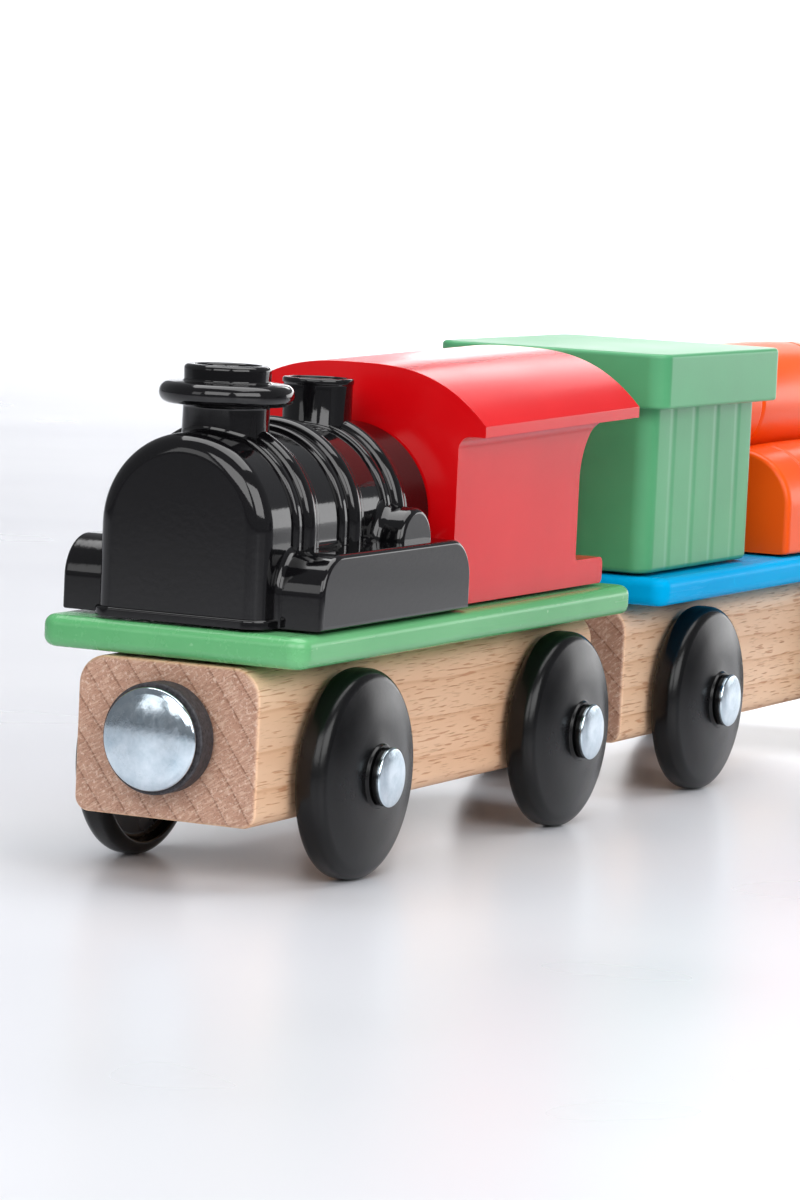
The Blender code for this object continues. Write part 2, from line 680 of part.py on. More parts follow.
def make_barrels(front, mats):
    centre = front - BARRELS_FRONT - BARRELS_LENGTH / 2
    half = BARRELS_LENGTH / 2
    # The web between the barrels is narrower than the valleys they form.
    core = prism([(-0.0050, BODY_BOTTOM), (0.0050, BODY_BOTTOM), (0.0036, 0.0355), (-0.0036, 0.0355)],
                 centre - half + 0.003, centre + half - 0.003, "X")
    stack = add_object("barrel_stack", core, mats["orange_plastic"])
    for side in (1, -1):
        rings = [
            arch_ring(centre + along, radius, BODY_BOTTOM, side * LOW_CASK_SPREAD, LOW_CASK_CENTRE)
            for radius, along in cask_sections()
        ]
        combine(stack, "low_cask", loft(rings), "UNION")
    top = lathe([(0, -half)] + cask_sections() + [(0, half)], 32)
    shape = combine(stack, "high_cask", top, "UNION")
    shape.location = (centre, 0, HIGH_CASK_CENTRE)
    shape.rotation_euler = TURN_TO["+X"]
    inside = [(0.0106, BODY_BOTTOM - 0.002), (0.0106, 0.0306), (0.0084, 0.0334), (0.0034, 0.0334),
              (0.0026, 0.0350), (0.0026, 0.0430)]
    cavity = prism(inside + [(-y, z) for y, z in reversed(inside)],
                   centre - half + WALL, centre + half - WALL, "X")
    hollow(stack, "barrel_stack", cavity, front, BARREL_SCREWS, 0.0350)
    return stack


def make_locomotive(mats):
    screws = (BOILER_SCREWS, CAB_SCREWS)
    parts = [
        make_block("locomotive", LOCO_FRONT, screws, mats["beech"]),
        make_plate("locomotive", LOCO_FRONT, screws, mats["green_paint"]),
        make_boiler(LOCO_FRONT, mats),
        make_cab(LOCO_FRONT, mats),
    ]
    parts += make_running_gear("locomotive", LOCO_FRONT, mats)
    parts += make_couplings("locomotive", LOCO_FRONT, mats)
    parts += make_screws("locomotive", "boiler", LOCO_FRONT, BOILER_SCREWS, mats["screw_steel"])
    parts += make_screws("locomotive", "cab", LOCO_FRONT, CAB_SCREWS, mats["screw_steel"])
    add_empty("locomotive", parts)


def make_wagon(mats):
    screws = (CRATE_SCREWS, BARREL_SCREWS)
    parts = [
        make_block("wagon", WAGON_FRONT, screws, mats["beech"]),
        make_plate("wagon", WAGON_FRONT, screws, mats["blue_paint"]),
        make_crate(WAGON_FRONT, mats),
        make_barrels(WAGON_FRONT, mats),
    ]
    parts += make_running_gear("wagon", WAGON_FRONT, mats)
    parts += make_couplings("wagon", WAGON_FRONT, mats)
    parts += make_screws("wagon", "crate", WAGON_FRONT, CRATE_SCREWS, mats["screw_steel"])
    parts += make_screws("wagon", "barrel", WAGON_FRONT, BARREL_SCREWS, mats["screw_steel"])
    # The wagon swings about the upright axis through the coupling, where this empty stands.
    add_empty("wagon_swing", parts)


clear_scene()
MATERIALS = make_materials()
make_locomotive(MATERIALS)
make_wagon(MATERIALS)
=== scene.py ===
"""The wooden train set in its finished form: fine meshes and materials on the CAD frame.

The train drives towards +X, its left side is +Y, and +Z is up. All sizes are in metres.
Every piece stands where the CAD node it replaces stands, and rides on the same body.
"""

import math

import bmesh
import bpy
from mathutils import Euler, Matrix, Vector


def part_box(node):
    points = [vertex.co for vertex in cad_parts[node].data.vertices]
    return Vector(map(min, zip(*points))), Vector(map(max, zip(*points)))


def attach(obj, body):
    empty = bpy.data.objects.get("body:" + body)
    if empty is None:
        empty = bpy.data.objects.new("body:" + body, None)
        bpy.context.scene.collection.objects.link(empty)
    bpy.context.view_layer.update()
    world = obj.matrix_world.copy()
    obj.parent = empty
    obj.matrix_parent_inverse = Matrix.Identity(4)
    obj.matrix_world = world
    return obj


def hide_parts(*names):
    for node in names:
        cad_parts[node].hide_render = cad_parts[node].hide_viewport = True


MM = 0.001

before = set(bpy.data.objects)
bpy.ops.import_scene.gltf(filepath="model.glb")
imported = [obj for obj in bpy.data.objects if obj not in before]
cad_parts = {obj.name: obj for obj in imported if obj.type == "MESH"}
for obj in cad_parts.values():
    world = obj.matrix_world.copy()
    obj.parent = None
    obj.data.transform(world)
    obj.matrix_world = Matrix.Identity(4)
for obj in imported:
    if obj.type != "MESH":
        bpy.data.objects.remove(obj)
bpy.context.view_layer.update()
VEHICLES = ("locomotive", "wagon")
ENDS = ("front", "rear")
SIDES = ("left", "right")

# Where the moulded bodies stand: lengthwise places are measured back from the block's front.
FRONT = {vehicle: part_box(f"{vehicle}_block")[1][0] for vehicle in VEHICLES}
REAR = {vehicle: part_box(f"{vehicle}_block")[0][0] for vehicle in VEHICLES}
BODY_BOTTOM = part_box("boiler")[0][2]


# Outlines

def rounded(corners, steps=6):
    """The outline through (u, v, radius) corners, with an arc at each corner of some radius."""
    outline = []
    for index, (u, v, radius) in enumerate(corners):
        corner = Vector((u, v))
        if radius <= 0:
            outline.append(corner)
            continue
        before = (Vector(corners[index - 1][:2]) - corner).normalized()
        after = (Vector(corners[(index + 1) % len(corners)][:2]) - corner).normalized()
        half = before.angle(after) / 2
        centre = corner + (before + after).normalized() * (radius / math.sin(half))
        start = corner + before * (radius / math.tan(half)) - centre
        end = corner + after * (radius / math.tan(half)) - centre
        turn = start.angle_signed(end)
        for step in range(steps + 1):
            angle = -turn * step / steps
            outline.append(centre + Vector((
                start.x * math.cos(angle) - start.y * math.sin(angle),
                start.x * math.sin(angle) + start.y * math.cos(angle),
            )))
    return outline


def round_box(low_u, high_u, low_v, high_v, radii, steps=6):
    """A function of inset that gives a box outline with its corners rounded.

    radii are for the corners low-low, high-low, high-high and low-high.
    """
    def outline(inset):
        places = ((low_u, low_v, 1, 1), (high_u, low_v, -1, 1),
                  (high_u, high_v, -1, -1), (low_u, high_v, 1, -1))
        return rounded([
            (u + inset * du, v + inset * dv, radius and max(radius - inset, 0.001 * MM))
            for (u, v, du, dv), radius in zip(places, radii)
        ], steps)
    return outline


def placed(u, v, along, axis):
    """The point of a flat outline drawn across an axis: (y, z) on X, (x, z) on Y, (x, y) on Z."""
    return {"X": (along, u, v), "Y": (u, along, v), "Z": (u, v, along)}[axis]


def edge_start(along, radius, steps=5):
    """Stations (along, inset) of a rounded edge where a sweep begins."""
    turns = [math.pi / 2 * step / steps for step in range(steps + 1)]
    return [(along + radius * (1 - math.cos(turn)), radius * (1 - math.sin(turn))) for turn in turns]


def edge_end(along, radius, steps=5):
    """Stations (along, inset) of a rounded edge where a sweep ends."""
    turns = [math.pi / 2 * step / steps for step in range(steps + 1)]
    return [(along - radius * (1 - math.sin(turn)), radius * (1 - math.cos(turn))) for turn in turns]


# Solids

def loft(rings):
    """A solid through rings of equally many points, closed by a face at both ends."""
    bm = bmesh.new()
    rows = [[bm.verts.new(point) for point in ring] for ring in rings]
    count = len(rows[0])
    for row, following in zip(rows, rows[1:]):
        for index in range(count):
            after = (index + 1) % count
            bm.faces.new((row[index], row[after], following[after], following[index]))
    bm.faces.new(rows[0])
    bm.faces.new(rows[-1])
    bmesh.ops.remove_doubles(bm, verts=bm.verts, dist=1e-7)
    bmesh.ops.recalc_face_normals(bm, faces=bm.faces)
    return bm


def sweep(outline_at, stations, axis):
    """A solid along an axis whose outline is inset by a given amount at each station."""
    return loft([[placed(u, v, along, axis) for u, v in outline_at(inset)]
                 for along, inset in stations])


def prism(outline, low, high, axis):
    return loft([[placed(u, v, along, axis) for u, v in outline] for along in (low, high)])


def lathe(profile, steps=96):
    """Turn (radius, along) points about Z. A profile that stays off the axis is a closed loop."""
    bm = bmesh.new()
    verts = [bm.verts.new((radius, 0, along)) for radius, along in profile]
    edges = [bm.edges.new(pair) for pair in zip(verts, verts[1:])]
    if profile[0][0] > 1e-9 and profile[-1][0] > 1e-9:
        edges.append(bm.edges.new((verts[-1], verts[0])))
    bmesh.ops.spin(
        bm, geom=verts + edges, axis=(0, 0, 1), cent=(0, 0, 0),
        steps=steps, angle=2 * math.pi, use_merge=True,
    )
    bmesh.ops.remove_doubles(bm, verts=bm.verts, dist=1e-7)
    bmesh.ops.recalc_face_normals(bm, faces=bm.faces)
    return bm


def cylinder(radius, low, high, steps=48):
    return lathe([(0, low), (radius, low), (radius, high), (0, high)], steps)


TURN_TO = {"+X": (0, math.pi / 2, 0), "-X": (0, -math.pi / 2, 0),
           "+Y": (-math.pi / 2, 0, 0), "-Y": (math.pi / 2, 0, 0), "+Z": (0, 0, 0)}


def moved(bm, location, facing="+Z"):
    bm.transform(Matrix.Translation(location) @ Euler(TURN_TO[facing]).to_matrix().to_4x4())
    return bm


# Objects

def add_object(name, bm):
    mesh = bpy.data.meshes.new(name)
    bm.to_mesh(mesh)
    bm.free()
    obj = bpy.data.objects.new(name, mesh)
    bpy.context.scene.collection.objects.link(obj)
    return obj


def apply_modifiers(obj):
    depsgraph = bpy.context.evaluated_depsgraph_get()
    mesh = bpy.data.meshes.new_from_object(obj.evaluated_get(depsgraph))
    mesh.name = obj.name
    obj.modifiers.clear()
    obj.data = mesh


def combine(obj, bm, operation):
    """Join a shape to an object for good, or cut it away, with a Boolean."""
    tool = add_object("tool", bm)
    modifier = obj.modifiers.new("solid", "BOOLEAN")
    modifier.operation = operation
    modifier.solver = "EXACT"
    modifier.object = tool
    apply_modifiers(obj)
    bpy.data.objects.remove(tool, do_unlink=True)


def soften(obj, width, segments=4, angle=35):
    """Round every edge sharper than an angle."""
    modifier = obj.modifiers.new("edges", "BEVEL")
    modifier.limit_method = "ANGLE"
    modifier.angle_limit = math.radians(angle)
    modifier.width = width
    modifier.segments = segments
    modifier.use_clamp_overlap = True
    apply_modifiers(obj)


def finish_piece(obj, mat, body, nodes, sharp=40):
    obj.data.materials.clear()
    obj.data.materials.append(mat)
    obj.data.shade_smooth()
    obj.data.set_sharp_from_angle(angle=math.radians(sharp))
    weighted = obj.modifiers.new("weighted_normals", "WEIGHTED_NORMAL")
    weighted.keep_sharp = True
    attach(obj, body)
    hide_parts(*nodes)


# Materials

class Nodes:
    """A short way to write a material's node tree."""

    def __init__(self, name):
        self.mat = bpy.data.materials.new(name)
        self.mat.use_nodes = True
        self.tree = self.mat.node_tree
        self.shader = self.tree.nodes["Principled BSDF"]
        self.coords = self.add("ShaderNodeTexCoord")

    def add(self, kind, settings=(), inputs=()):
        node = self.tree.nodes.new(kind)
        for key, value in dict(settings).items():
            setattr(node, key, value)
        for key, value in dict(inputs).items():
            self.feed(node.inputs[key], value)
        return node

    def feed(self, socket, value):
        if isinstance(value, bpy.types.NodeSocket):
            self.tree.links.new(value, socket)
        else:
            socket.default_value = value

    def place(self, scale, rotation=(0, 0, 0), location=(0, 0, 0)):
        """Object coordinates, turned, moved, then scaled to cells per metre."""
        turned = self.add("ShaderNodeMapping", inputs={
            "Vector": self.coords.outputs["Object"], "Rotation": rotation, "Location": location})
        scaled = self.add("ShaderNodeVectorMath", {"operation": "MULTIPLY"}, {
            0: turned.outputs["Vector"], 1: scale})
        return scaled.outputs["Vector"]

    def noise(self, vector, detail=3.0, roughness=0.5, distortion=0.0):
        return self.add("ShaderNodeTexNoise", inputs={
            "Vector": vector, "Scale": 1.0, "Detail": detail,
            "Roughness": roughness, "Distortion": distortion}).outputs["Fac"]

    def maths(self, operation, first, second=0.0, third=0.0):
        return self.add("ShaderNodeMath", {"operation": operation}, {
            0: first, 1: second, 2: third}).outputs["Value"]

    def span(self, value, low, high, to_low=0.0, to_high=1.0):
        """Map a range of values, held at both ends, to another range."""
        return self.add("ShaderNodeMapRange", {"clamp": True}, {
            "Value": value, "From Min": low, "From Max": high,
            "To Min": to_low, "To Max": to_high}).outputs["Result"]

    def mix(self, amount, first, second):
        node = self.add("ShaderNodeMix", {"data_type": "RGBA"})
        self.feed(node.inputs["Factor"], amount)
        self.feed(node.inputs["A"], first)
        self.feed(node.inputs["B"], second)
        return node.outputs["Result"]

    def bump(self, height, distance):
        return self.add("ShaderNodeBump", inputs={
            "Height": height, "Distance": distance, "Strength": 1.0}).outputs["Normal"]

    def set(self, **values):
        for key, value in values.items():
            self.feed(self.shader.inputs[key.replace("_", " ")], value)


def colour(red, green, blue):
    """A linear colour from one as the eye compares it, 0 to 255."""
    def linear(value):
        share = value / 255
        return share / 12.92 if share <= 0.04045 else ((share + 0.055) / 1.055) ** 2.4
    return (linear(red), linear(green), linear(blue), 1.0)


PITH_DISTANCE = 110 * MM
PITH_LEAN = 0.035
RING_WIDTH = 2.1 * MM


def beech(name, slant, shift):
    """Beech, as a solid texture with its grain along X.

    slant turns the growth rings about X, and shift moves the piece about in the tree.
    """
    n = Nodes(name)
    turn = (math.radians(slant), 0, 0)
    # Growth rings: arcs about a pith well outside the block, waving a little along the grain.
    plain = n.place((1.0, 1.0, 1.0), turn, shift)
    wave = n.noise(n.place((28.0, 60.0, 60.0), turn, shift), detail=2.0)
    parts = n.add("ShaderNodeSeparateXYZ", inputs={0: plain})
    across = n.maths("ADD", parts.outputs["Y"], PITH_DISTANCE)
    lean = n.maths("MULTIPLY_ADD", parts.outputs["X"], PITH_LEAN, parts.outputs["Z"])
    distance = n.maths("SQRT", n.maths("ADD", n.maths("MULTIPLY", across, across),
                                       n.maths("MULTIPLY", lean, lean)))
    rings = n.maths("MULTIPLY_ADD", distance, 1 / RING_WIDTH, n.maths("MULTIPLY", wave, 0.7))
    phase = n.maths("FRACT", rings)
    late = n.span(phase, 0.45, 0.97)
    line = n.maths("MULTIPLY", n.span(phase, 0.88, 0.96), n.span(phase, 1.0, 0.96))
    # Medullary rays: thin sheets that are short dashes on the sides and fine lines on the ends.
    rays = n.noise(n.place((360.0, 330.0, 6200.0), turn, shift), detail=1.0, roughness=0.3)
    dash = n.span(rays, 0.61, 0.70)
    fine = n.noise(n.place((90.0, 900.0, 5200.0), turn, shift), detail=2.0)
    # Pores: dots on the ends, long hair lines on the sides.
    pores = n.add("ShaderNodeTexVoronoi", {"feature": "F1"}, {
        "Vector": n.place((260.0, 5600.0, 5600.0), turn, shift), "Scale": 1.0, "Randomness": 1.0})
    dot = n.span(pores.outputs["Distance"], 0.30, 0.12)
    cloud = n.noise(n.place((16.0, 90.0, 90.0), turn, shift), detail=3.0)
    fibre = n.noise(n.place((300.0, 3400.0, 3400.0), turn, shift), detail=3.0, roughness=0.6)

    side = n.mix(late, colour(236, 197, 163), colour(229, 186, 150))
    side = n.mix(n.span(cloud, 0.35, 0.7, 0.0, 0.5), side, colour(212, 162, 126))
    side = n.mix(n.maths("MULTIPLY", line, 0.35), side, colour(186, 134, 96))
    side = n.mix(n.maths("MULTIPLY", dash, 0.6), side, colour(180, 116, 76))
    side = n.mix(n.maths("MULTIPLY", dot, 0.22), side, colour(172, 125, 88))
    end = n.mix(late, colour(182, 141, 119), colour(170, 127, 105))
    end = n.mix(n.maths("MULTIPLY", line, 0.75), end, colour(120, 82, 62))
    end = n.mix(n.maths("MULTIPLY", dot, 0.65), end, colour(104, 66, 50))
    end = n.mix(n.span(fine, 0.52, 0.62, 0.0, 0.5), end, colour(216, 184, 162))
    end = n.mix(n.span(fibre, 0.55, 0.68, 0.0, 0.6), end, colour(226, 200, 182))
    facing = n.add("ShaderNodeSeparateXYZ", inputs={0: n.coords.outputs["Normal"]})
    on_end = n.span(n.maths("ABSOLUTE", facing.outputs["X"]), 0.55, 0.95)
    relief = n.maths("ADD", n.maths("MULTIPLY", dot, -0.6), n.maths("MULTIPLY", dash, -0.5))
    n.set(
        Base_Color=n.mix(on_end, side, end),
        Roughness=n.span(cloud, 0.3, 0.7, 0.42, 0.56),
        Normal=n.bump(relief, 0.00006),
        IOR=1.45,
    )
    return n.mat


def moulding(name, deep, pale, roughness, gloss=0.5):
    """Injection-moulded plastic: a little uneven in colour and gloss, with a very fine surface."""
    n = Nodes(name)
    cloud = n.noise(n.place((60.0, 60.0, 60.0)), detail=4.0)
    fine = n.noise(n.place((1800.0, 1800.0, 1800.0)), detail=3.0)
    n.set(
        Base_Color=n.mix(n.span(cloud, 0.35, 0.65), deep, pale),
        Roughness=n.span(cloud, 0.3, 0.7, roughness * 0.9, roughness * 1.1),
        Normal=n.bump(fine, 0.000004),
        IOR=1.5,
        Specular_IOR_Level=gloss,
    )
    return n.mat


def paint(name, deep, pale, paler_tone, gloss=0.5):
    """Gloss paint on wood: the grain shows faintly through it, and its edges are painted a little
    paler, a painted highlight on their rounding.
    """
    n = Nodes(name)
    grain = n.noise(n.place((30.0, 1100.0, 1100.0)), detail=4.0, roughness=0.6)
    peel = n.noise(n.place((700.0, 700.0, 700.0)), detail=2.0)
    cloud = n.noise(n.place((45.0, 45.0, 45.0)), detail=3.0)
    speck = n.span(n.noise(n.place((900.0, 900.0, 900.0)), detail=1.0), 0.76, 0.80)
    edge = n.span(n.add("ShaderNodeNewGeometry").outputs["Pointiness"], 0.52, 0.60)
    base = n.mix(n.span(cloud, 0.3, 0.7), deep, pale)
    # Painted highlight: convex edges take the paler tone in place of the shine on their rounding; the
    # specks below are random pale flecks of the same tone.
    base = n.mix(n.maths("MULTIPLY", edge, 0.35), base, paler_tone)
    base = n.mix(n.maths("MULTIPLY", speck, 0.4), base, paler_tone)
    height = n.maths("ADD", n.maths("MULTIPLY", grain, 0.7), n.maths("MULTIPLY", peel, 0.5))
    n.set(
        Base_Color=base,
        Roughness=n.span(grain, 0.3, 0.7, 0.20, 0.30),
        Normal=n.bump(height, 0.00003),
        IOR=1.5,
        Specular_IOR_Level=gloss,
    )
    return n.mat


def wheel_plastic(name):
    """Black plastic, lightly brushed round the axle by handling."""
    n = Nodes(name)
    parts = n.add("ShaderNodeSeparateXYZ", inputs={0: n.coords.outputs["Object"]})
    radius = n.maths("SQRT", n.maths(
        "ADD", n.maths("MULTIPLY", parts.outputs["X"], parts.outputs["X"]),
        n.maths("MULTIPLY", parts.outputs["Y"], parts.outputs["Y"])))
    swirl = n.add("ShaderNodeCombineXYZ", inputs={"X": n.maths("MULTIPLY", radius, 5200.0)})
    rings = n.noise(swirl.outputs["Vector"], detail=2.0)
    cloud = n.noise(n.place((180.0, 180.0, 180.0)), detail=5.0, roughness=0.65)
    fine = n.noise(n.place((2600.0, 2600.0, 2600.0)), detail=2.0)
    paler_tone = n.span(cloud, 0.5, 0.8)
    height = n.maths("ADD", n.maths("MULTIPLY", rings, 0.5), fine)
    n.set(
        Base_Color=n.mix(n.maths("MULTIPLY", paler_tone, 0.5), colour(9, 9, 10), colour(23, 22, 25)),
        Roughness=n.span(cloud, 0.3, 0.75, 0.20, 0.30),
        Normal=n.bump(height, 0.000006),
        IOR=1.45,
        Specular_IOR_Level=0.35,
    )
    return n.mat


def zinc(name):
    """Bright zinc plating with its faint bloom and small scratches."""
    n = Nodes(name)
    bloom = n.noise(n.place((420.0, 420.0, 420.0)), detail=6.0, roughness=0.7)
    scratch = n.noise(n.place((700.0, 9000.0, 700.0), (0, 0, 0.6)), detail=2.0)
    spangle = n.noise(n.place((1500.0, 1500.0, 1500.0)), detail=4.0, roughness=0.65)
    height = n.maths("ADD", spangle, n.maths("MULTIPLY", scratch, 0.25))
    n.set(
        Base_Color=n.mix(n.span(bloom, 0.35, 0.7), colour(214, 225, 233), colour(172, 190, 202)),
        Roughness=n.span(spangle, 0.3, 0.7, 0.07, 0.22),
        Normal=n.bump(height, 0.00001),
        Metallic=1.0,
    )
    return n.mat


def ferrite(name):
    n = Nodes(name)
    grit = n.noise(n.place((3200.0, 3200.0, 3200.0)), detail=4.0, roughness=0.7)
    chip = n.noise(n.place((800.0, 800.0, 800.0)), detail=3.0)
    n.set(
        Base_Color=n.mix(n.span(grit, 0.35, 0.7), colour(38, 37, 40), colour(76, 74, 78)),
        Roughness=n.span(chip, 0.3, 0.7, 0.45, 0.7),
        Normal=n.bump(n.maths("ADD", grit, chip), 0.00006),
        Metallic=0.25,
    )
    return n.mat


def screw_steel(name):
    n = Nodes(name)
    turned = n.noise(n.place((900.0, 900.0, 6000.0)), detail=3.0)
    stain = n.noise(n.place((600.0, 600.0, 600.0)), detail=5.0)
    n.set(
        Base_Color=n.mix(n.span(stain, 0.35, 0.7), colour(198, 198, 200), colour(160, 158, 154)),
        Roughness=n.span(turned, 0.3, 0.7, 0.22, 0.40),
        Normal=n.bump(turned, 0.00002),
        Metallic=1.0,
    )
    return n.mat


def make_materials():
    return {
        "beech_locomotive": beech("beech_locomotive", -30, (0.0, 0.0, 0.0)),
        "beech_wagon": beech("beech_wagon", -38, (0.31, 0.0012, 0.004)),
        "black_plastic": moulding("black_plastic", colour(8, 8, 9), colour(11, 10, 12), 0.07),
        "red_plastic": moulding("red_plastic", colour(208, 4, 12), colour(216, 8, 16), 0.20, 0.4),
        "green_plastic": moulding("green_plastic", colour(76, 152, 104), colour(86, 164, 114),
                                  0.34, 0.4),
        "orange_plastic": moulding("orange_plastic", colour(238, 80, 6), colour(242, 88, 10),
                                   0.30, 0.3),
        # The third colour of each paint is its paler tone: a painted highlight on the edges, and
        # random pale specks.
        "green_paint": paint("green_paint", colour(82, 160, 100), colour(96, 172, 112),
                             colour(150, 205, 160)),
        "blue_paint": paint("blue_paint", colour(0, 158, 216), colour(0, 166, 224),
                            colour(0, 180, 234), 0.02),
        "wheel_plastic": wheel_plastic("wheel_plastic"),
        "zinc": zinc("zinc"),
        "ferrite": ferrite("ferrite"),
        "screw_steel": screw_steel("screw_steel"),
    }


# Chassis

BLOCK_TOP_EDGE = 2.8 * MM
BLOCK_BOTTOM_EDGE = 1.4 * MM
BLOCK_END_EDGE = 0.4 * MM
AXLE_BORE = 1.8 * MM
STUD_BORE = 1.4 * MM
STUD_BORE_DEPTH = 12.3 * MM
SCREW_BORE = 1.5 * MM
SCREW_HEAD_BORE = 2.9 * MM
SCREW_SEAT = 12.1 * MM
PLATE_CORNER = 1.8 * MM
PLATE_EDGE = 1.0 * MM


def screw_places(vehicle):
    """The centres of the screws that come up through a vehicle's block."""
    bodies = ("boiler", "cab") if vehicle == "locomotive" else ("crate", "barrel")
    for body in bodies:
        for side in SIDES:
            low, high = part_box(f"{vehicle}_{body}_{side}_screw")
            yield (low[0] + high[0]) / 2, (low[1] + high[1]) / 2


def make_block(vehicle, mat):
    low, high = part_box(f"{vehicle}_block")
    past = 2 * MM
    section = round_box(low[1], high[1], low[2], high[2],
                        (BLOCK_BOTTOM_EDGE, BLOCK_BOTTOM_EDGE, BLOCK_TOP_EDGE, BLOCK_TOP_EDGE), 8)
    stations = edge_start(low[0], BLOCK_END_EDGE) + edge_end(high[0], BLOCK_END_EDGE)
    block = add_object(f"{vehicle}_beech_block", sweep(section, stations, "X"))
    for end in ENDS:
        axle_low, axle_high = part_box(f"{vehicle}_{end}_axle")
        centre = ((axle_low[0] + axle_high[0]) / 2, 0, (axle_low[2] + axle_high[2]) / 2)
        bore = cylinder(AXLE_BORE, low[1] - past, high[1] + past)
        combine(block, moved(bore, centre, "+Y"), "DIFFERENCE")
        stud_low, stud_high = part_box(f"{vehicle}_{end}_coupling_stud")
        face, facing = (high[0], "-X") if end == "front" else (low[0], "+X")
        bore = cylinder(STUD_BORE, -past, STUD_BORE_DEPTH)
        combine(block, moved(bore, (face, 0, (stud_low[2] + stud_high[2]) / 2), facing), "DIFFERENCE")
    for x, y in screw_places(vehicle):
        bore = lathe([(0, low[2] - past), (SCREW_HEAD_BORE, low[2] - past),
                      (SCREW_HEAD_BORE, SCREW_SEAT), (SCREW_BORE, SCREW_SEAT),
                      (SCREW_BORE, high[2] + past), (0, high[2] + past)], 48)
        combine(block, moved(bore, (x, y, 0)), "DIFFERENCE")
    finish_piece(block, mat, vehicle, [f"{vehicle}_block"])


def make_plate(vehicle, mat):
    low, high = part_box(f"{vehicle}_plate")
    plan = round_box(low[0], high[0], low[1], high[1], (PLATE_CORNER,) * 4, 8)
    stations = edge_start(low[2], PLATE_EDGE, 6) + edge_end(high[2], PLATE_EDGE, 6)
    plate = add_object(f"{vehicle}_painted_plate", sweep(plan, stations, "Z"))
    for x, y in screw_places(vehicle):
        bore = cylinder(SCREW_BORE, low[2] - MM, high[2] + MM)
        combine(plate, moved(bore, (x, y, 0)), "DIFFERENCE")
    finish_piece(plate, mat, vehicle, [f"{vehicle}_plate"])


# Running gear and couplings, each turned about Z and then stood at its place.
# The profiles are (radius, along) corners in millimetres, each with the radius of its rounding.

def scaled(outline):
    """An outline drawn in millimetres, in metres."""
    return [(u * MM, v * MM) for u, v in outline]


def wheel_profile():
    corners = [
        (1.6, 9.8, 0), (3.3, 9.8, 0.2), (3.55, 11.3, 0.35), (8.35, 11.3, 0.5), (8.75, 10.1, 0.25),
        (10.0, 10.1, 1.0), (10.0, 13.1, 1.3), (8.9, 13.34, 3.5), (6.2, 13.98, 24.0),
        (3.1, 14.32, 0.12), (2.95, 14.6, 0.12), (1.6, 14.6, 0),
    ]
    return scaled(rounded(corners, 8))


def cap_profile():
    corners = [
        (0, 15.8, 0), (1.6, 15.76, 9.0), (2.7, 15.63, 0.2), (2.82, 15.5, 0.06),
        (2.82, 15.3, 0), (0, 15.3, 0),
    ]
    return scaled(rounded(corners, 8))


def collar_profile():
    corners = [(1.8, 14.75, 0), (2.76, 14.75, 0.05), (2.76, 15.27, 0.1), (1.8, 15.27, 0)]
    return scaled(rounded(corners, 4))


def stud_profile():
    corners = [
        (0, 4.2, 0), (2.4, 4.02, 20.0), (3.55, 3.80, 6.0), (4.224, 3.60, 0.8), (4.8, 3.3, 0.35),
        (4.8, 3.0, 0.12), (1.1, 3.0, 0), (1.1, -11.0, 0), (0, -12.0, 0),
    ]
    return scaled(rounded(corners, 8))


def magnet_profile():
    corners = [(1.5, 0.3, 0), (5.2, 0.3, 0.2), (5.2, 2.7, 0.2), (1.5, 2.7, 0)]
    return scaled(rounded(corners, 4))


def stand(name, profile, steps, centre, facing):
    """A turned piece whose origin is on its own axis."""
    obj = add_object(name, lathe(profile, steps))
    obj.location = centre
    obj.rotation_euler = TURN_TO[facing]
    return obj


def make_running_gear(vehicle, materials):
    for end in ENDS:
        low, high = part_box(f"{vehicle}_{end}_axle")
        centre = ((low[0] + high[0]) / 2, 0, (low[2] + high[2]) / 2)
        for side, facing in zip(SIDES, ("+Y", "-Y")):
            name = f"{vehicle}_{end}_{side}"
            wheel = stand(f"{name}_turned_wheel", wheel_profile(), 120, centre, facing)
            finish_piece(wheel, materials["wheel_plastic"], f"{name}_wheel", [f"{name}_wheel"],
                         50)
            cap = stand(f"{name}_zinc_cap", cap_profile(), 64, centre, facing)
            finish_piece(cap, materials["zinc"], vehicle, [f"{name}_axle_cap"], 50)
            collar = stand(f"{name}_cap_collar", collar_profile(), 64, centre, facing)
            finish_piece(collar, materials["wheel_plastic"], vehicle, [f"{name}_axle_cap"],
                         50)


def make_couplings(vehicle, materials):
    for end, face, facing in (("front", FRONT[vehicle], "+X"), ("rear", REAR[vehicle], "-X")):
        name = f"{vehicle}_{end}"
        low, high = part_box(f"{name}_coupling_stud")
        centre = (face, 0, (low[2] + high[2]) / 2)
        stud = stand(f"{name}_zinc_stud", stud_profile(), 96, centre, facing)
        finish_piece(stud, materials["zinc"], vehicle, [f"{name}_coupling_stud"], 50)
        ring = stand(f"{name}_ferrite_ring", magnet_profile(), 96, centre, facing)
        finish_piece(ring, materials["ferrite"], vehicle, [f"{name}_magnet"], 50)


# Boiler moulding

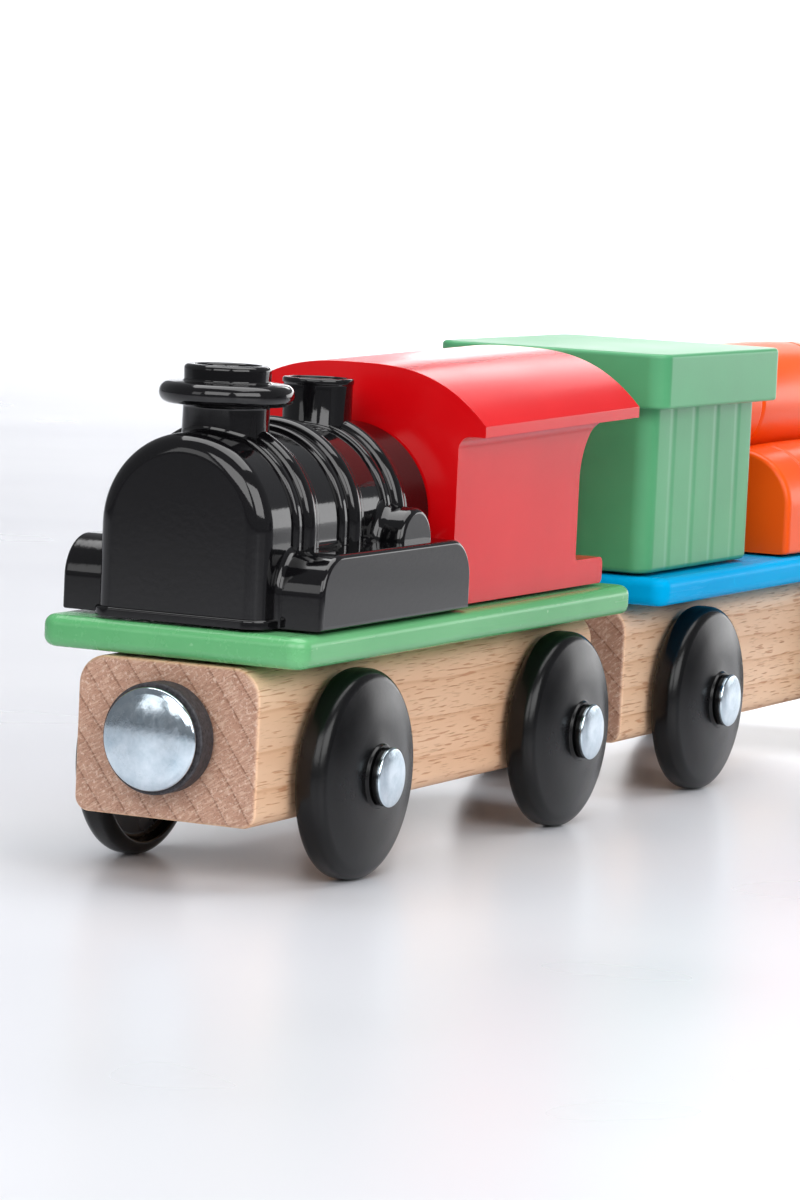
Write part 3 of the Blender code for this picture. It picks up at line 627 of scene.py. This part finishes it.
BOILER_FRONT = 0.8 * MM
BOILER_REAR = 35.15 * MM
BARREL_RADIUS = 8.8 * MM
BARREL_CENTRE = 33.0 * MM
BARREL_EDGE = 1.9 * MM
BANDS = (9.1 * MM, 18.4 * MM, 27.7 * MM)
BAND_HALF_WIDTH = 2.4 * MM
BAND_HEIGHT = 0.42 * MM
BAND_EDGE = 0.45 * MM
BEAD_HALF_WIDTH = 1.0 * MM
BEAD_HEIGHT = 0.62 * MM
LIP_HEIGHT = 0.85 * MM
LIP_OUT = 0.4 * MM
LIP_EDGE = 0.25 * MM
TANK_FRONT = 3.65 * MM
TANK_HALF_WIDTH = 13.7 * MM
TANK_TOP = 31.3 * MM
TANK_CORNER = 3.9 * MM
TANK_EDGE = 0.45 * MM
TANK_FLARE = 0.7 * MM
SPLASHER_CENTRE = 26.8 * MM
SPLASHER_RADIUS = 3.4 * MM
SPLASHER_HALF_WIDTH = 11.8 * MM
SPLASHER_FLARE = 1.0 * MM
SPLASHER_EDGE = 0.6 * MM
SPLASHER_SINK = 0.2 * MM
SPLASHER_DEPTH = 2.0 * MM
CHIMNEY_RADIUS = 4.1 * MM
CHIMNEY_FILLET = 0.5 * MM
DOME_RADIUS = 3.37 * MM
DOME_FILLET = 0.4 * MM
FILLET_SINK = 1.5 * MM
FILLET_OVERLAP = 0.01 * MM
ROOT_DEPTH = 1.0 * MM
SPLASHER_ROOT_DEPTH = 0.1 * MM


def band_height(offset):
    """How far a band stands above the barrel: a flat base, round at its edges, with one bead."""
    across = abs(offset)
    height = BAND_HEIGHT
    past = across - (BAND_HALF_WIDTH - BAND_EDGE)
    if past > 0:
        height *= math.sqrt(max(0, 1 - (past / BAND_EDGE) ** 2))
    if across < BEAD_HALF_WIDTH:
        height += BEAD_HEIGHT * math.sqrt(1 - (across / BEAD_HALF_WIDTH) ** 2)
    return height


def barrel_sections():
    """(offset, height above the barrel) pairs: the rounded front edge and the banding."""
    sections = []
    for step in range(10):
        angle = math.radians(10 * step)
        sections.append((BOILER_FRONT + BARREL_EDGE * (1 - math.cos(angle)),
                         -BARREL_EDGE * (1 - math.sin(angle))))
    samples = 46
    for band in BANDS:
        for step in range(-samples, samples + 1):
            offset = BAND_HALF_WIDTH * step / samples
            sections.append((band + offset, band_height(offset)))
    sections.append((BOILER_REAR, 0))
    return sections


def arch_ring(x, radius, bottom, steps=56):
    """An upright arch: a half round on straight sides, standing at a place along X."""
    ring = [(x, radius, bottom)]
    for step in range(steps + 1):
        angle = math.pi * step / steps
        ring.append((x, radius * math.cos(angle), BARREL_CENTRE + radius * math.sin(angle)))
    ring.append((x, -radius, bottom))
    return ring


def chimney_profile():
    corners = [
        (0, 37.0, 0), (4.15, 37.0, 0), (4.05, 44.2, 0.35), (6.35, 44.2, 0.98), (6.35, 46.2, 0.98),
        (4.05, 46.3, 0.25), (4.12, 47.9, 0.45), (3.05, 47.9, 0.3), (2.9, 47.35, 0.2),
        (1.7, 47.35, 0.1), (1.6, 47.15, 0.1), (0, 47.15, 0),
    ]
    return scaled(rounded(corners, 7))


def dome_profile():
    corners = [
        (0, 37.0, 0), (3.37, 37.0, 0), (3.37, 45.55, 0.1), (3.47, 45.7, 0.1), (3.47, 46.2, 0.25),
        (2.75, 46.2, 0.2), (2.65, 45.95, 0.1), (0, 45.95, 0),
    ]
    return scaled(rounded(corners, 6))


def saddle_height(y):
    return BARREL_CENTRE + math.sqrt(BARREL_RADIUS ** 2 - y ** 2)


def saddle_fillet(x, radius, reach, steps=72, turns=8):
    """The flare at the foot of an upright pipe that stands on the barrel.

    Its top edge is sunk a little in the pipe and its foot in the barrel, so that the solids cross.
    """
    rings = []
    for number in range(turns + 1):
        turn = math.pi / 2 * number / turns
        out = radius + reach * (1 - math.sin(turn))
        if number == turns:
            out -= FILLET_OVERLAP
        rise = reach * (1 - math.cos(turn))
        rings.append([
            (x + out * math.cos(a), out * math.sin(a), saddle_height(out * math.sin(a)) + rise)
            for a in (2 * math.pi * step / steps for step in range(steps))
        ])
    under = [(px, py, pz - FILLET_SINK) for px, py, pz in rings[0]]
    return loft([under] + rings)


def flared(start, reach, steps):
    """Stations (along, inset) of a root that flares by its reach where it leaves the barrel."""
    turns = [math.pi / 2 * step / steps for step in range(steps + 1)]
    return [(BARREL_RADIUS - ROOT_DEPTH, -reach)] + [
        (start + reach * (1 - math.cos(turn)), -reach * (1 - math.sin(turn))) for turn in turns]


def splasher_ring(x, y, radius, steps=40):
    """The half round of a splasher, whose straight foot is sunk in the tank's top."""
    ring = []
    for step in range(steps + 1):
        angle = math.pi * step / steps
        ring.append((x + radius * math.cos(angle), y,
                     TANK_TOP - SPLASHER_SINK + radius * math.sin(angle)))
    foot = TANK_TOP - SPLASHER_DEPTH
    return ring + [(x - radius, y, foot), (x + radius, y, foot)]


def make_boiler(mat):
    front = FRONT["locomotive"]
    rings = [arch_ring(front - offset, BARREL_RADIUS + grow, BODY_BOTTOM)
             for offset, grow in barrel_sections()]
    boiler = add_object("boiler_moulding", loft(rings))

    lip = round_box(front - BOILER_REAR, front - BOILER_FRONT + LIP_OUT,
                    -BARREL_RADIUS - LIP_OUT, BARREL_RADIUS + LIP_OUT,
                    (0, BARREL_EDGE + LIP_OUT, BARREL_EDGE + LIP_OUT, 0), 8)
    stations = [(BODY_BOTTOM, 0)] + edge_end(BODY_BOTTOM + LIP_HEIGHT, LIP_EDGE)
    combine(boiler, sweep(lip, stations, "Z"), "UNION")

    # Each tank flares where it leaves the barrel's side and has a small round outer edge.
    tank = round_box(front - BOILER_REAR, front - TANK_FRONT, BODY_BOTTOM, TANK_TOP,
                     (0, 0, TANK_CORNER, TANK_CORNER), 12)

    def tank_outline(inset):
        """The tank's side outline, which keeps its flat bottom and rear."""
        return [(max(x, front - BOILER_REAR), max(z, BODY_BOTTOM)) for x, z in tank(inset)]

    right_half = flared(BARREL_RADIUS, TANK_FLARE, 7) + edge_end(TANK_HALF_WIDTH, TANK_EDGE)
    for side in (1, -1):
        bm = sweep(tank_outline, [(side * y, inset) for y, inset in right_half], "Y")
        combine(boiler, bm, "UNION")

    right_half = flared(BARREL_RADIUS - SPLASHER_ROOT_DEPTH, SPLASHER_FLARE, 8)
    right_half += edge_end(SPLASHER_HALF_WIDTH, SPLASHER_EDGE)
    for side in (1, -1):
        rings = [splasher_ring(front - SPLASHER_CENTRE, side * y, SPLASHER_RADIUS - inset)
                 for y, inset in right_half]
        combine(boiler, loft(rings), "UNION")

    chimney = front - BANDS[0]
    dome = front - BANDS[2]
    combine(boiler, moved(lathe(chimney_profile(), 96), (chimney, 0, 0)), "UNION")
    combine(boiler, saddle_fillet(chimney, CHIMNEY_RADIUS, CHIMNEY_FILLET), "UNION")
    combine(boiler, moved(lathe(dome_profile(), 80), (dome, 0, 0)), "UNION")
    combine(boiler, saddle_fillet(dome, DOME_RADIUS, DOME_FILLET), "UNION")
    finish_piece(boiler, mat, "locomotive", ["boiler"], 38)


# Cab moulding

CAB_FRONT = 35.45 * MM
CAB_WALL_REAR = 64.7 * MM
CAB_STEP_REAR = 71.6 * MM
CAB_ROOF_REAR = 72.7 * MM
CAB_HALF_WIDTH = 11.6 * MM
CAB_STEP_TOP = 27.1 * MM
CAB_SWEEP = 6.5 * MM
EAVE_HALF_WIDTH = 14.45 * MM
EAVE_BOTTOM = 41.0 * MM
EAVE_TOP = 42.1 * MM
EAVE_COVE = 1.3 * MM
ROOF_TOP = 47.5 * MM
ROOF_RISE = 0.7 * MM
ROOF_POWER = 2.9
CAB_EDGE = 0.4 * MM


def cab_ring(x, rise, steps=64):
    """The cab's outline across the train: walls, coved eaves and the arched roof."""
    right = [(CAB_HALF_WIDTH, BODY_BOTTOM)]
    for step in range(9):
        angle = math.pi / 2 * step / 8
        right.append((CAB_HALF_WIDTH + EAVE_COVE * (1 - math.cos(angle)),
                      EAVE_BOTTOM + rise - EAVE_COVE * (1 - math.sin(angle))))
    right.append((EAVE_HALF_WIDTH, EAVE_BOTTOM + rise))
    roof = []
    for step in range(steps + 1):
        y = EAVE_HALF_WIDTH * math.cos(math.pi * step / steps)
        drop = (ROOF_TOP - EAVE_TOP) * (abs(y) / EAVE_HALF_WIDTH) ** ROOF_POWER
        roof.append((y, ROOF_TOP + rise - drop))
    left = [(-y, z) for y, z in reversed(right)]
    return [(x, y, z) for y, z in right + roof + left]


def cab_side(front):
    """The cab's outline from the side: the curved rear opening between the roof and the step."""
    wall = front - CAB_WALL_REAR
    under = EAVE_BOTTOM + ROOF_RISE
    above = ROOF_TOP + 3 * MM
    step = front - CAB_STEP_REAR
    outline = [(front - CAB_FRONT, BODY_BOTTOM), (front - CAB_FRONT, above),
               (front - CAB_ROOF_REAR, above), (front - CAB_ROOF_REAR, under)]
    for turn in range(19):
        angle = math.radians(5 * turn)
        outline.append((wall - CAB_SWEEP + CAB_SWEEP * math.sin(angle),
                        under - CAB_SWEEP + CAB_SWEEP * math.cos(angle)))
    foot = rounded([
        (wall, under - 2 * CAB_SWEEP, 0), (wall, CAB_STEP_TOP, 0.5 * MM),
        (step, CAB_STEP_TOP, 0.7 * MM), (step, BODY_BOTTOM, 0.6 * MM),
        (front - CAB_FRONT, BODY_BOTTOM, 0),
    ], 6)
    return outline + [(x, z) for x, z in foot[1:-1]]


def make_cab(mat):
    front = FRONT["locomotive"]
    cab = add_object("cab_moulding", loft([cab_ring(front - CAB_FRONT, 0),
                                           cab_ring(front - CAB_ROOF_REAR, ROOF_RISE)]))
    side = prism(cab_side(front), -EAVE_HALF_WIDTH - MM, EAVE_HALF_WIDTH + MM, "Y")
    combine(cab, side, "INTERSECT")
    soften(cab, CAB_EDGE)
    finish_piece(cab, mat, "locomotive", ["cab"])


# Wagon mouldings

CRATE_CORNER = 2.1 * MM
CRATE_RIM = 2.0 * MM
CRATE_RIM_BOTTOM = 42.1 * MM
CRATE_FOOT_EDGE = 0.6 * MM
CRATE_RIM_EDGE = 0.35 * MM
CRATE_TOP_EDGE = 0.45 * MM
PLANK_PITCH = 6.0 * MM
GROOVE_HALF_WIDTH = 1.1 * MM
GROOVE_DEPTH = 0.075 * MM


def planked(low, high):
    """Places and depths of points along a planked side, which has a whole plank at its middle."""
    pairs = round(((high - low) / 2 - GROOVE_HALF_WIDTH) / PLANK_PITCH)
    points = []
    for plank in range(-pairs, pairs):
        groove = (low + high) / 2 + (plank + 0.5) * PLANK_PITCH
        for step in range(-4, 5):
            depth = GROOVE_DEPTH * (1 + math.cos(math.pi * step / 4)) / 2
            points.append((groove + step / 4 * GROOVE_HALF_WIDTH, depth))
    return points


def crate_plan(low, high):
    """A function of inset that gives the crate's planked outline."""
    def outline(inset):
        radius = CRATE_CORNER - inset
        walls = (
            (Vector((low[0], low[1])), Vector((1, 0)), Vector((0, 1)), high[0] - low[0]),
            (Vector((high[0], low[1])), Vector((0, 1)), Vector((-1, 0)), high[1] - low[1]),
            (Vector((high[0], high[1])), Vector((-1, 0)), Vector((0, -1)), high[0] - low[0]),
            (Vector((low[0], high[1])), Vector((0, -1)), Vector((1, 0)), high[1] - low[1]),
        )
        points = []
        for corner, along, inward, length in walls:
            for place, depth in planked(CRATE_CORNER, length - CRATE_CORNER):
                points.append(corner + along * place + inward * (inset + depth))
            centre = corner + along * (length - CRATE_CORNER) + inward * CRATE_CORNER
            for step in range(9):
                angle = math.pi / 2 * step / 8
                points.append(centre - inward * radius * math.cos(angle)
                              + along * radius * math.sin(angle))
        return points
    return outline


def make_crate(mat):
    low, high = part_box("crate")
    body_low = (low[0] + CRATE_RIM, low[1] + CRATE_RIM)
    body_high = (high[0] - CRATE_RIM, high[1] - CRATE_RIM)
    stations = edge_start(BODY_BOTTOM, CRATE_FOOT_EDGE) + [(high[2] - MM, 0)]
    crate = add_object("crate_moulding", sweep(crate_plan(body_low, body_high), stations, "Z"))
    rim = round_box(low[0], high[0], low[1], high[1], (CRATE_CORNER,) * 4, 10)
    stations = edge_start(CRATE_RIM_BOTTOM, CRATE_RIM_EDGE) + edge_end(high[2], CRATE_TOP_EDGE)
    combine(crate, sweep(rim, stations, "Z"), "UNION")
    finish_piece(crate, mat, "wagon", ["crate"])


BARRELS_LENGTH = 35.0 * MM
CASK_RADIUS = 6.6 * MM
CASK_END = 6.2 * MM
CASK_EDGE = 0.6 * MM
CASK_FOOT = 0.4 * MM
HOOP_PLACE = 10.5 * MM
HOOP_HALF_WIDTH = 0.55 * MM
HOOP_DEPTH = 0.3 * MM
LOW_CASK_SPREAD = 6.7 * MM
LOW_CASK_CENTRE = 29.7 * MM
HIGH_CASK_CENTRE = 40.7 * MM
WEB_TOP = 35.5 * MM
WEB_FOOT_HALF_WIDTH = 5.0 * MM
WEB_TOP_HALF_WIDTH = 3.6 * MM
WEB_INSET = 3.0 * MM


def cask_radius(along):
    """The gently bellied staves, with a soft groove beside either end."""
    share = along / (BARRELS_LENGTH / 2)
    radius = CASK_END + (CASK_RADIUS - CASK_END) * (1 - share * share)
    aside = (abs(along) - HOOP_PLACE) / HOOP_HALF_WIDTH
    if abs(aside) < 1:
        radius -= HOOP_DEPTH * (1 + math.cos(math.pi * aside)) / 2
    return radius


def cask_sections():
    """(radius, along) pairs of a barrel from end to end, with its rounded ends."""
    half = BARRELS_LENGTH / 2
    start = [(CASK_END - inset, along) for along, inset in edge_start(-half, CASK_EDGE)]
    straight = half - CASK_EDGE
    count = 110
    middle = [(cask_radius(along), along)
              for along in (straight * step / count for step in range(1 - count, count))]
    return start + middle + [(radius, -along) for radius, along in reversed(start)]


def cask_ring(x, radius, middle, steps=48):
    """A lower barrel's outline: a half round on straight sides that end in small round feet."""
    right = [(radius - inset, BODY_BOTTOM + rise) for rise, inset in edge_start(0, CASK_FOOT)]
    top = [(radius * math.cos(turn), LOW_CASK_CENTRE + radius * math.sin(turn))
           for turn in (math.pi * step / steps for step in range(steps + 1))]
    left = [(-y, z) for y, z in reversed(right)]
    return [(x, middle + y, z) for y, z in right + top + left]


def make_barrels(mat):
    low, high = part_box("barrel_stack")
    centre = (high[0] + low[0]) / 2
    web = [(-WEB_FOOT_HALF_WIDTH, BODY_BOTTOM), (WEB_FOOT_HALF_WIDTH, BODY_BOTTOM),
           (WEB_TOP_HALF_WIDTH, WEB_TOP), (-WEB_TOP_HALF_WIDTH, WEB_TOP)]
    stack = add_object("barrel_moulding",
                       prism(web, low[0] + WEB_INSET, high[0] - WEB_INSET, "X"))
    for side in (1, -1):
        rings = [cask_ring(centre + along, radius, side * LOW_CASK_SPREAD)
                 for radius, along in cask_sections()]
        combine(stack, loft(rings), "UNION")
    half = BARRELS_LENGTH / 2
    upper = lathe([(0, -half)] + cask_sections() + [(0, half)], 96)
    combine(stack, moved(upper, (centre, 0, HIGH_CASK_CENTRE), "+X"), "UNION")
    finish_piece(stack, mat, "wagon", ["barrel_stack"])


# Carried-over CAD nodes

def repaint_cad(materials):
    for name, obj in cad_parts.items():
        if name.endswith(("_screw", "_axle")):
            for slot in obj.material_slots:
                slot.material = materials["screw_steel"]


# Studio

FLOOR_HALF_SIZE = 3.0
SWEEP_START = -1.3
SWEEP_RADIUS = 0.20
SWEEP_HEIGHT = 0.30
CAMERA_PLACE = (0.4727, 0.2144, 0.0716)
CAMERA_YAW = 25.90
CAMERA_PITCH = 5.63
CAMERA_ROLL = 2.61
CAMERA_LENS = 147.2
CAMERA_SENSOR = 36.0


def make_floor():
    """A pale sheet that lies under the train and curves up behind it."""
    n = Nodes("studio_floor")
    cloud = n.noise(n.place((7.0, 7.0, 7.0)), detail=2.0)
    scuff = n.noise(n.place((30.0, 30.0, 30.0)), detail=1.0)
    drift = n.noise(n.place((5.0, 14.0, 5.0), (0, 0, 0.5)), detail=2.0, distortion=0.4)
    base = n.mix(n.span(cloud, 0.35, 0.65), colour(212, 213, 218), colour(220, 221, 225))
    base = n.mix(n.span(drift, 0.4, 0.65, 0.0, 0.5), base, colour(208, 209, 215))
    # The sheet is palest under and behind the train; toward its near and left borders it is painted
    # greyer, a painted shade where the light falls off.
    place = n.add("ShaderNodeSeparateXYZ", inputs={0: n.coords.outputs["Object"]})
    leftward = n.maths("MULTIPLY_ADD", place.outputs["X"], -0.34, place.outputs["Y"])
    painted_falloff = n.maths("MAXIMUM", n.span(leftward, 0.08, 0.24), n.span(place.outputs["X"], 0.24, 0.44))
    behind = n.span(place.outputs["X"], -0.9, -1.3)
    base = n.mix(behind, base, colour(246, 247, 250))
    # Painted shade: the grey mixed in toward the near and left borders.
    base = n.mix(n.maths("MULTIPLY", painted_falloff, 0.85), base, colour(100, 100, 105))
    n.set(Base_Color=base, Roughness=n.span(scuff, 0.3, 0.7, 0.27, 0.31))
    half = FLOOR_HALF_SIZE
    path = [(half, 0)]
    for step in range(17):
        angle = math.pi / 2 * step / 16
        path.append((SWEEP_START - SWEEP_RADIUS * math.sin(angle),
                     SWEEP_RADIUS * (1 - math.cos(angle))))
    path.append((SWEEP_START - SWEEP_RADIUS, SWEEP_HEIGHT))
    bm = bmesh.new()
    rows = [(bm.verts.new((x, -half, z)), bm.verts.new((x, half, z))) for x, z in path]
    for (left, right), (next_left, next_right) in zip(rows, rows[1:]):
        bm.faces.new((left, next_left, next_right, right))
    bmesh.ops.recalc_face_normals(bm, faces=bm.faces)
    floor = add_object("studio_floor", bm)
    floor.data.materials.append(n.mat)
    floor.data.shade_smooth()


def add_light(name, place, target, size, power):
    light = bpy.data.lights.new(name, "AREA")
    light.shape = "RECTANGLE"
    light.size, light.size_y = size
    light.energy = power
    obj = bpy.data.objects.new(name, light)
    bpy.context.scene.collection.objects.link(obj)
    obj.location = place
    obj.rotation_euler = (Vector(target) - Vector(place)).to_track_quat("-Z", "Y").to_euler()
    obj.visible_camera = False


def make_lights():
    world = bpy.data.worlds.new("studio")
    world.use_nodes = True
    background = world.node_tree.nodes["Background"]
    background.inputs["Color"].default_value = (0.93, 0.95, 1.0, 1.0)
    background.inputs["Strength"].default_value = 0.26
    bpy.context.scene.world = world
    middle = (0.02, 0.0, 0.02)
    add_light("overhead", (-0.10, 0.0, 0.80), middle, (0.95, 0.7), 7.6)
    add_light("low_band", (-1.2, 0.075, 0.135), (0.0, 0.075, 0.135), (1.35, 0.27), 2.7)
    add_light("high_panel", (-1.25, -0.30, 0.52), middle, (0.40, 0.16), 0.6)
    add_light("backdrop_wash", (-0.8, 0.1, 0.7), (-1.5, 0.1, 0.1), (2.0, 0.3), 18.0)
    add_light("side_fill", (0.45, 0.85, 0.50), middle, (0.8, 0.55), 5.9)
    add_light("front_fill", (0.9, 0.15, 0.50), middle, (0.7, 0.5), 4.1)
    add_light("window", (0.9, -0.40, 0.33), middle, (0.26, 0.34), 0.42)


def make_camera():
    yaw, pitch, roll = (math.radians(a) for a in (CAMERA_YAW, CAMERA_PITCH, CAMERA_ROLL))
    back = Vector((math.cos(yaw) * math.cos(pitch), math.sin(yaw) * math.cos(pitch), math.sin(pitch)))
    level = Vector((-math.sin(yaw), math.cos(yaw), 0))
    upright = back.cross(level)
    right = level * math.cos(roll) + upright * math.sin(roll)
    up = upright * math.cos(roll) - level * math.sin(roll)
    data = bpy.data.cameras.new("camera")
    data.lens = CAMERA_LENS
    data.sensor_width = CAMERA_SENSOR
    data.clip_start = 0.01
    camera = bpy.data.objects.new("camera", data)
    bpy.context.scene.collection.objects.link(camera)
    turn = Matrix((right, up, back)).transposed().to_4x4()
    camera.matrix_world = Matrix.Translation(CAMERA_PLACE) @ turn
    bpy.context.scene.camera = camera


materials = make_materials()
for vehicle in VEHICLES:
    make_block(vehicle, materials[f"beech_{vehicle}"])
    make_running_gear(vehicle, materials)
    make_couplings(vehicle, materials)
make_plate("locomotive", materials["green_paint"])
make_plate("wagon", materials["blue_paint"])
make_boiler(materials["black_plastic"])
make_cab(materials["red_plastic"])
make_crate(materials["green_plastic"])
make_barrels(materials["orange_plastic"])
repaint_cad(materials)
make_floor()
make_lights()
make_camera()
bpy.context.scene.view_settings.view_transform = "Standard"
